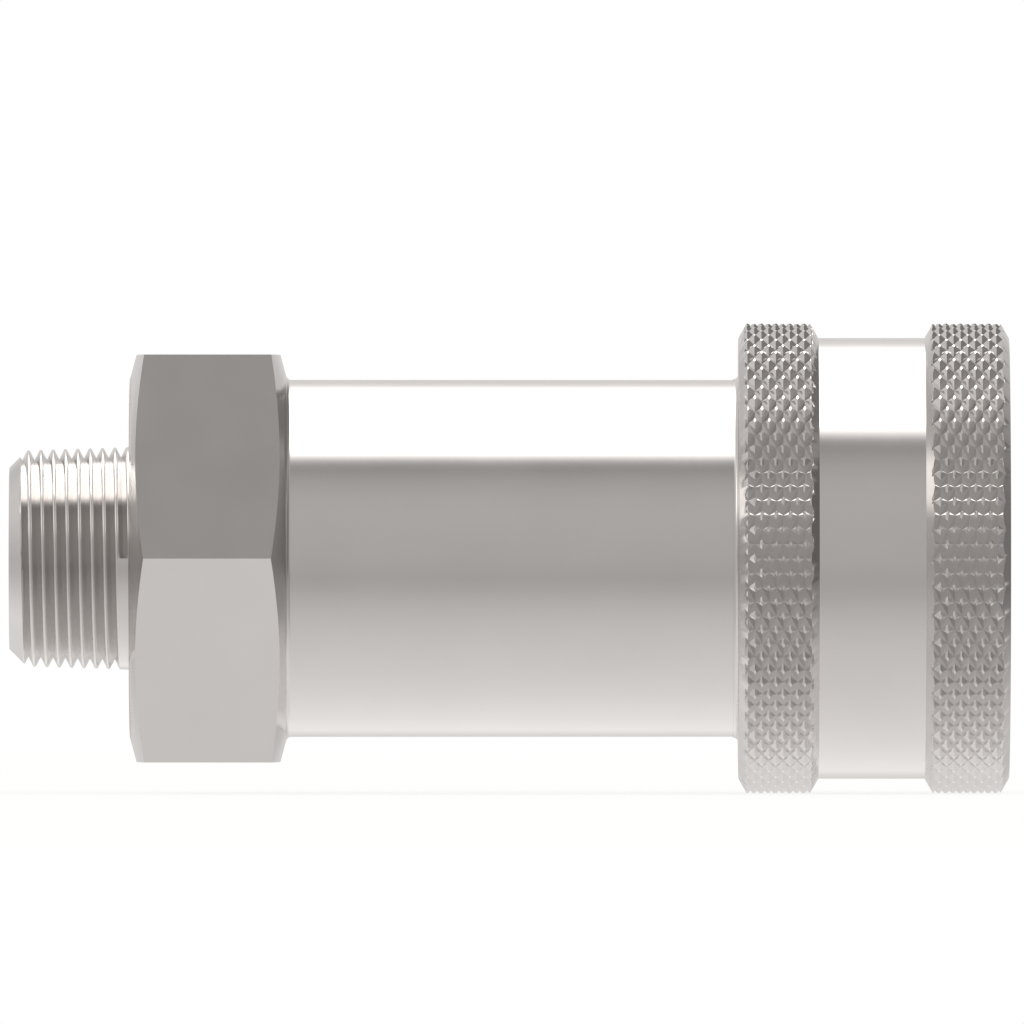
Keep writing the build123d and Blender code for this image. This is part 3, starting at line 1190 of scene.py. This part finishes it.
@dataclass(frozen=True)
class FlatRing:
    """A flat ring with eased edges, whole or split at +Z."""

    node: str
    piece: str
    slot: Slot
    inner: float
    edge: float
    gap: float = 0.0

    def build(self, shop: Workshop) -> None:
        """Make the ring and hang it on its body.

        Args:
            shop: The workshop that dresses it.
        """
        span = Span.of(self.node)
        corners = [
            (span.start, self.inner),
            (span.start, span.radius),
            (span.end, span.radius),
            (span.end, self.inner),
        ]
        section = eased(corners, self.edge)
        if self.gap:
            degrees = float(np.degrees(self.gap / (0.5 * (self.inner + span.radius))))
            ring = swept_ring(self.piece, section, degrees)
        else:
            ring = turned(self.piece, section)
        shop.fit(ring, self.slot, self.node)


@dataclass(frozen=True)
class Valve:
    """Poppet, its seal and the retainer that clamps the seal."""

    disc_start: float = 141.44
    disc_end: float = 144.44
    disc_radius: float = 19.715
    boss_end: float = 147.44
    boss_radius: float = 10.915
    pilot_start: float = 139.94
    pilot_radius: float = 10.0
    stem_radius: float = 5.0
    stem_chamfer: float = 1.0
    shank_radius: float = 4.0
    shank_clearance: float = 0.05
    shank_length: float = 10.0
    seal_inner: float = 10.955
    retainer_radius: float = 14.115
    retainer_taper: float = 3.0
    retainer_tip: float = 8.0
    key_across: float = 5.8
    key_depth: float = 3.5
    key_chamfer: float = 0.25
    key_cone: float = 0.6
    key_mouth: float = 4.35
    seal_edge: float = 0.12
    stem_eases: tuple[float, ...] = (0, 0.1, 0.1, 0.3, 0.25, 0, 0.3, 0.3, 0, 0.1, 0.2, 0, 0)
    retainer_eases: tuple[float, ...] = (0.3, 0, 0.2, 0.4, 1.0, 0)
    columns: int = 192

    def build(self, shop: Workshop) -> None:
        """Make the three pieces.

        Args:
            shop: The workshop that dresses them.
        """
        stem_end = Span.of("valve_poppet").start
        bore = self.shank_radius + self.shank_clearance
        bottom = self.boss_end - self.shank_length - self.stem_chamfer
        corners = [
            (stem_end, 0.0),
            (stem_end, self.stem_radius - self.stem_chamfer),
            (stem_end + self.stem_chamfer, self.stem_radius),
            (self.pilot_start, self.stem_radius),
            (self.pilot_start, self.pilot_radius),
            (self.disc_start, self.pilot_radius),
            (self.disc_start, self.disc_radius),
            (self.disc_end, self.disc_radius),
            (self.disc_end, self.boss_radius),
            (self.boss_end, self.boss_radius),
            (self.boss_end, bore),
            (bottom, bore),
            (bottom, 0.0),
        ]
        stem = turned("poppet_stem", eased(corners, self.stem_eases))
        shop.fit(stem, Slot.VALVE, "valve_poppet")
        seal = Span.of("poppet_seal")
        section = [
            (seal.start, self.seal_inner),
            (seal.start, seal.radius),
            (seal.end, seal.radius - (seal.end - seal.start)),
            (seal.end, self.seal_inner),
        ]
        cone = turned("poppet_seal_cone", eased(section, self.seal_edge))
        shop.fit(cone, Slot.RUBBER, "poppet_seal")
        self.build_retainer(shop)

    def build_retainer(self, shop: Workshop) -> None:
        """Make the retainer: a turned nose and shank with a hexagon socket for its key.

        Args:
            shop: The workshop that dresses it.
        """
        span = Span.of("seal_retainer")
        angle = turn_angles(self.columns)
        socket = hexagon_radius(self.key_across, angle)
        corners = [
            (span.start, self.shank_radius),
            (self.boss_end, self.shank_radius),
            (self.boss_end, self.retainer_radius),
            (span.end - self.retainer_taper, self.retainer_radius),
            (span.end, self.retainer_tip),
            (span.end, self.key_mouth),
        ]
        key = [
            (span.end, socket + self.key_chamfer),
            (span.end - self.key_chamfer, socket),
            (span.end - self.key_depth, socket),
            (span.end - self.key_depth - self.key_cone, 0.0),
        ]
        rows = [(span.start, 0.0)] + eased(corners, self.retainer_eases) + key
        piece = make_piece("retainer_nose", [shaped_patch(rows, angle)])
        shop.fit(piece, Slot.VALVE, "seal_retainer")


# The studio


@dataclass(frozen=True)
class Studio:
    """Camera, floor and the light round the socket.

    The light is a world whose brightness depends on direction alone. Round the socket's axis
    it follows a curve of the elevation, which is 0 towards the camera's side, 90 straight up
    and 180 behind, and to the left and right it gives way to side light. A pair named edge,
    front, back, foot, top or fade is where a light comes in or goes out, as shares of the
    direction along one axis, or as elevations for the overhead light.
    """

    lens: float = 1600.0
    sensor: float = 36.0
    photo_scale: float = 0.187224
    photo_pixels: int = 1024
    axis_row: float = 558.38
    tip_column: float = 9.6
    clip_end: float = 100.0
    floor_drop: float = 43.95
    floor_rings: tuple[float, ...] = (0.0, 60.0, 200.0, 600.0, 1400.0)
    floor_columns: int = 96
    floor_colour: float = 0.96
    floor_white: float = 1.01
    floor_white_share: float = 0.84
    mirror_level: float = 0.886
    warmth: Triple = (1.0, 0.973, 0.952)
    cool_tint: Triple = (0.992, 0.973, 0.959)
    tint_fade: Pair = (0.0, 0.5)
    right_edge: Pair = (0.1, 0.34)
    left_edge: Pair = (0.2, 0.46)
    far_left_edge: Pair = (0.79, 0.85)
    overhead_light: float = 2.0
    overhead_front: Pair = (71.0, 76.0)
    overhead_back: Pair = (137.0, 143.0)
    overhead_right: Pair = (0.24, 0.36)
    overhead_left: Pair = (0.3, 0.46)
    behind_light: float = 0.42
    behind_edge: Pair = (0.5, 0.9)
    behind_top: Pair = (0.2, 0.45)
    low_edge: Pair = (0.78, 0.88)
    low_top: Pair = (-0.02, 0.08)
    low_back: Pair = (0.12, 0.3)
    near_light: float = 0.54
    near_drop: float = 0.3
    near_fade: Pair = (0.42, 0.75)
    near_edge: Pair = (0.12, 0.25)
    near_foot: Pair = (-0.2, 0.0)
    strip_light: float = 1.05
    strip_edge: Pair = (0.66, 0.74)
    strip_front: Pair = (0.02, 0.15)
    strip_foot: Pair = (0.25, 0.42)
    strip_top: Pair = (0.54, 0.68)
    round_light: Curve = (
        (-180, 0.79), (-170, 0.83), (-159, 1.0), (-149, 1.24), (-140, 1.27), (-118, 1.18),
        (-93, 1.04), (-72, 0.942), (-50, 0.855), (-38, 0.786), (-27, 0.697), (-20, 0.62),
        (-13, 0.572), (0, 0.61), (15, 0.625), (28, 0.636), (38, 0.618), (46, 0.58), (53, 0.52),
        (60, 0.42), (64, 0.485), (66, 0.66), (68, 0.98), (71, 1.85), (143, 1.85), (149, 1.19),
        (155, 0.96), (163, 0.85), (180, 0.79),
    )
    right_light: Curve = (
        (-180, 0.24), (-173, 0.24), (-167, 0.3), (-160, 0.5), (-150, 0.78), (-139, 0.98),
        (-120, 1.04), (-91, 1.04), (-75, 0.99), (-58, 0.86), (-40, 0.57), (-10, 0.4), (60, 0.43),
        (74, 0.54), (86, 0.5), (100, 0.31), (126, 0.28), (150, 0.24), (180, 0.24),
    )
    left_light: Curve = (
        (-180, 0.66), (-165, 0.88), (-150, 1.02), (-120, 1.1), (-90, 1.03), (-60, 0.9),
        (-40, 0.72), (-10, 0.62), (30, 0.68), (51, 0.76), (66, 1.0), (78, 1.08), (90, 0.85),
        (103, 0.78), (122, 0.8), (130, 0.9), (150, 0.78), (165, 0.68), (180, 0.66),
    )
    far_right_light: Curve = (
        (-0.6, 0.9), (-0.45, 0.74), (-0.28, 0.53), (-0.17, 0.42), (-0.12, 0.35), (-0.06, 0.28),
        (0.0, 0.25),
    )
    far_left_light: Curve = (
        (-0.5, 1.1), (-0.3, 0.87), (-0.15, 0.72), (0.0, 0.69), (0.2, 0.77), (0.35, 0.85),
        (0.5, 0.9),
    )

    def build(self) -> None:
        """Set up camera, world and floor."""
        scene = bpy.context.scene
        scene.view_settings.view_transform = "Standard"
        self.place_camera(scene)
        self.build_world(scene)
        self.build_floor()

    def place_camera(self, scene: bpy.types.Scene) -> None:
        """Place the camera so that a millimetre covers the photograph's share of pixels.

        Args:
            scene: The scene.
        """
        width = self.photo_pixels * self.photo_scale
        data = bpy.data.cameras.new("camera")
        data.lens = self.lens
        data.sensor_width = self.sensor
        data.clip_end = self.clip_end
        camera = bpy.data.objects.new("camera", data)
        scene.collection.objects.link(camera)
        middle = self.photo_pixels / 2
        x = (middle - self.tip_column) * self.photo_scale
        z = (self.axis_row - middle) * self.photo_scale
        camera.location = (x * MM, -width * self.lens / self.sensor * MM, z * MM)
        camera.rotation_euler = (np.pi / 2, 0.0, 0.0)
        scene.camera = camera

    def build_world(self, scene: bpy.types.Scene) -> None:
        """Make the world: white to the camera and the studio's light to mirrored rays.

        Args:
            scene: The scene.
        """
        world = bpy.data.worlds.new("studio_light")
        scene.world = world
        shader = Shader(world)
        place = shader.node("ShaderNodeTexCoord").outputs["Generated"]
        split = shader.node("ShaderNodeSeparateXYZ", Vector=place)
        dx, dy, dz = (shader.socket(split, way) for way in "XYZ")
        level = self.light(shader, dx, dy, dz) * self.mirror_level
        path = shader.node("ShaderNodeLightPath")
        mirrored = shader.socket(path, "Is Glossy Ray")
        tint = shader.blend((-dz).rise(*self.tint_fade), self.warmth, self.cool_tint)
        light = shader.node(
            "ShaderNodeBackground", Color=tint, Strength=mirrored * level + (1.0 - mirrored)
        )
        white = shader.node("ShaderNodeBackground", Color=(1.0, 1.0, 1.0, 1.0))
        both = shader.node(
            "ShaderNodeMixShader",
            Fac=path.outputs["Is Camera Ray"],
            Shader=light.outputs[0],
            Shader_001=white.outputs[0],
        )
        shader.node("ShaderNodeOutputWorld", Surface=both.outputs[0])

    def light(self, shader: Shader, dx: Socket, dy: Socket, dz: Socket) -> Socket:
        """Brightness of the mirrored light in one direction.

        Args:
            shader: The world's nodes.
            dx: The direction's share along +X, towards the mouth.
            dy: Its share along +Y, away from the camera.
            dz: Its share along +Z.

        Returns:
            The brightness.
        """
        elevation = dz.direction(-dy) * (180.0 / np.pi)
        ring, right, left = (
            shader.ramp(elevation, -180.0, 180.0, curve)
            for curve in (self.round_light, self.right_light, self.left_light)
        )
        low, far = (
            shader.ramp(dz, -1.0, 1.0, curve)
            for curve in (self.far_right_light, self.far_left_light)
        )
        right += dy.rise(*self.behind_edge) * dz.fall(*self.behind_top) * self.behind_light
        to_low = dx.rise(*self.low_edge) * dz.fall(*self.low_top) * dy.fall(*self.low_back)
        right = right * (1.0 - to_low) + low * to_low
        to_near = (-dy).rise(*self.near_edge) * dz.rise(*self.near_foot)
        near = self.near_light - dx.rise(*self.near_fade) * self.near_drop
        right = right * (1.0 - to_near) + near * to_near
        to_far = (-dx).rise(*self.far_left_edge)
        strip = (-dx).rise(*self.strip_edge) * (-dy).rise(*self.strip_front)
        strip = strip * dz.rise(*self.strip_foot) * dz.fall(*self.strip_top)
        left = left * (1.0 - to_far) + far * to_far + strip * self.strip_light
        to_right = dx.rise(*self.right_edge)
        to_left = (-dx).rise(*self.left_edge)
        light = ring * (1.0 - to_right) * (1.0 - to_left) + right * to_right + left * to_left
        top = elevation.rise(*self.overhead_front) * elevation.fall(*self.overhead_back)
        top = top * dx.fall(*self.overhead_right) * (-dx).fall(*self.overhead_left)
        return light + top * self.overhead_light

    def build_floor(self) -> None:
        """Make the floor: a pale disc that keeps the socket's shadow.

        Mirrored rays pass through it to the world, whose lower half is the light that a
        wide pale floor throws back.
        """
        rings = np.array(self.floor_rings)
        angle = turn_angles(self.floor_columns)
        middle = (self.photo_pixels / 2 - self.tip_column) * self.photo_scale
        x = middle + rings[:, None] * np.cos(angle)
        y = rings[:, None] * np.sin(angle)
        points = np.stack([x, y, np.full_like(x, -self.floor_drop)], axis=-1)
        floor = make_piece("floor", [grid_patch(points, outward=False)])
        floor.data.materials.append(self.floor_material())

    def floor_material(self) -> bpy.types.Material:
        """Make the floor's material.

        Returns:
            The material.
        """
        material = bpy.data.materials.new("pale_floor")
        shader = Shader(material)
        path = shader.node("ShaderNodeLightPath")
        camera, glossy, through = (
            shader.socket(path, f"Is {kind} Ray") for kind in ("Camera", "Glossy", "Transmission")
        )
        white = shader.node("ShaderNodeEmission", Strength=self.floor_white)
        matt = shader.node("ShaderNodeBsdfDiffuse", Color=(*[self.floor_colour] * 3, 1.0))
        both = shader.node(
            "ShaderNodeMixShader",
            Fac=camera.larger(through) * self.floor_white_share,
            Shader=matt.outputs[0],
            Shader_001=white.outputs[0],
        )
        passing = shader.node(
            "ShaderNodeMixShader",
            Fac=glossy * (1.0 - camera),
            Shader=both.outputs[0],
            Shader_001=shader.node("ShaderNodeBsdfTransparent").outputs[0],
        )
        shader.node("ShaderNodeOutputMaterial", Surface=passing.outputs[0])
        return material


def main() -> None:
    """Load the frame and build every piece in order."""
    logging.basicConfig(level=logging.INFO, format="%(name)s: %(message)s")
    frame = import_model()
    shop = Workshop(frame)
    makers: list = [
        RearBody(),
        LockingSleeve(),
        Nose(),
        LockingBalls(),
        CoilSpring(
            node="sleeve_spring",
            piece="sleeve_coil",
            joint="sleeve_slide",
            travel=8.0,
            radius=31.455,
            wire=2.6,
            turns=5.0,
        ),
        CoilSpring(
            node="valve_spring",
            piece="valve_coil",
            joint="poppet_slide",
            travel=9.0,
            radius=11.5,
            wire=2.2,
            turns=7.0,
        ),
        FlatRing("spring_washer", "thrust_washer", Slot.WASHER, inner=29.665, edge=0.15),
        FlatRing("sleeve_stop_ring", "stop_snap_ring", Slot.SPRING, 28.315, edge=0.25, gap=6.0),
        FlatRing("guide_retaining_ring", "guide_snap_ring", Slot.SPRING, 22.065, 0.25, gap=6.0),
        Seals(),
        FlatRing("plug_backup_ring", "plug_backup_washer", Slot.PLASTIC, inner=21.68, edge=0.12),
        FlatRing("body_backup_ring", "body_backup_washer", Slot.PLASTIC, 25.355, edge=0.12),
        Valve(),
    ]
    for maker in makers:
        maker.build(shop)
        LOG.info("%s is done", type(maker).__name__)
    Studio().build()
    bpy.context.view_layer.update()


if __name__ == "__main__":
    main()
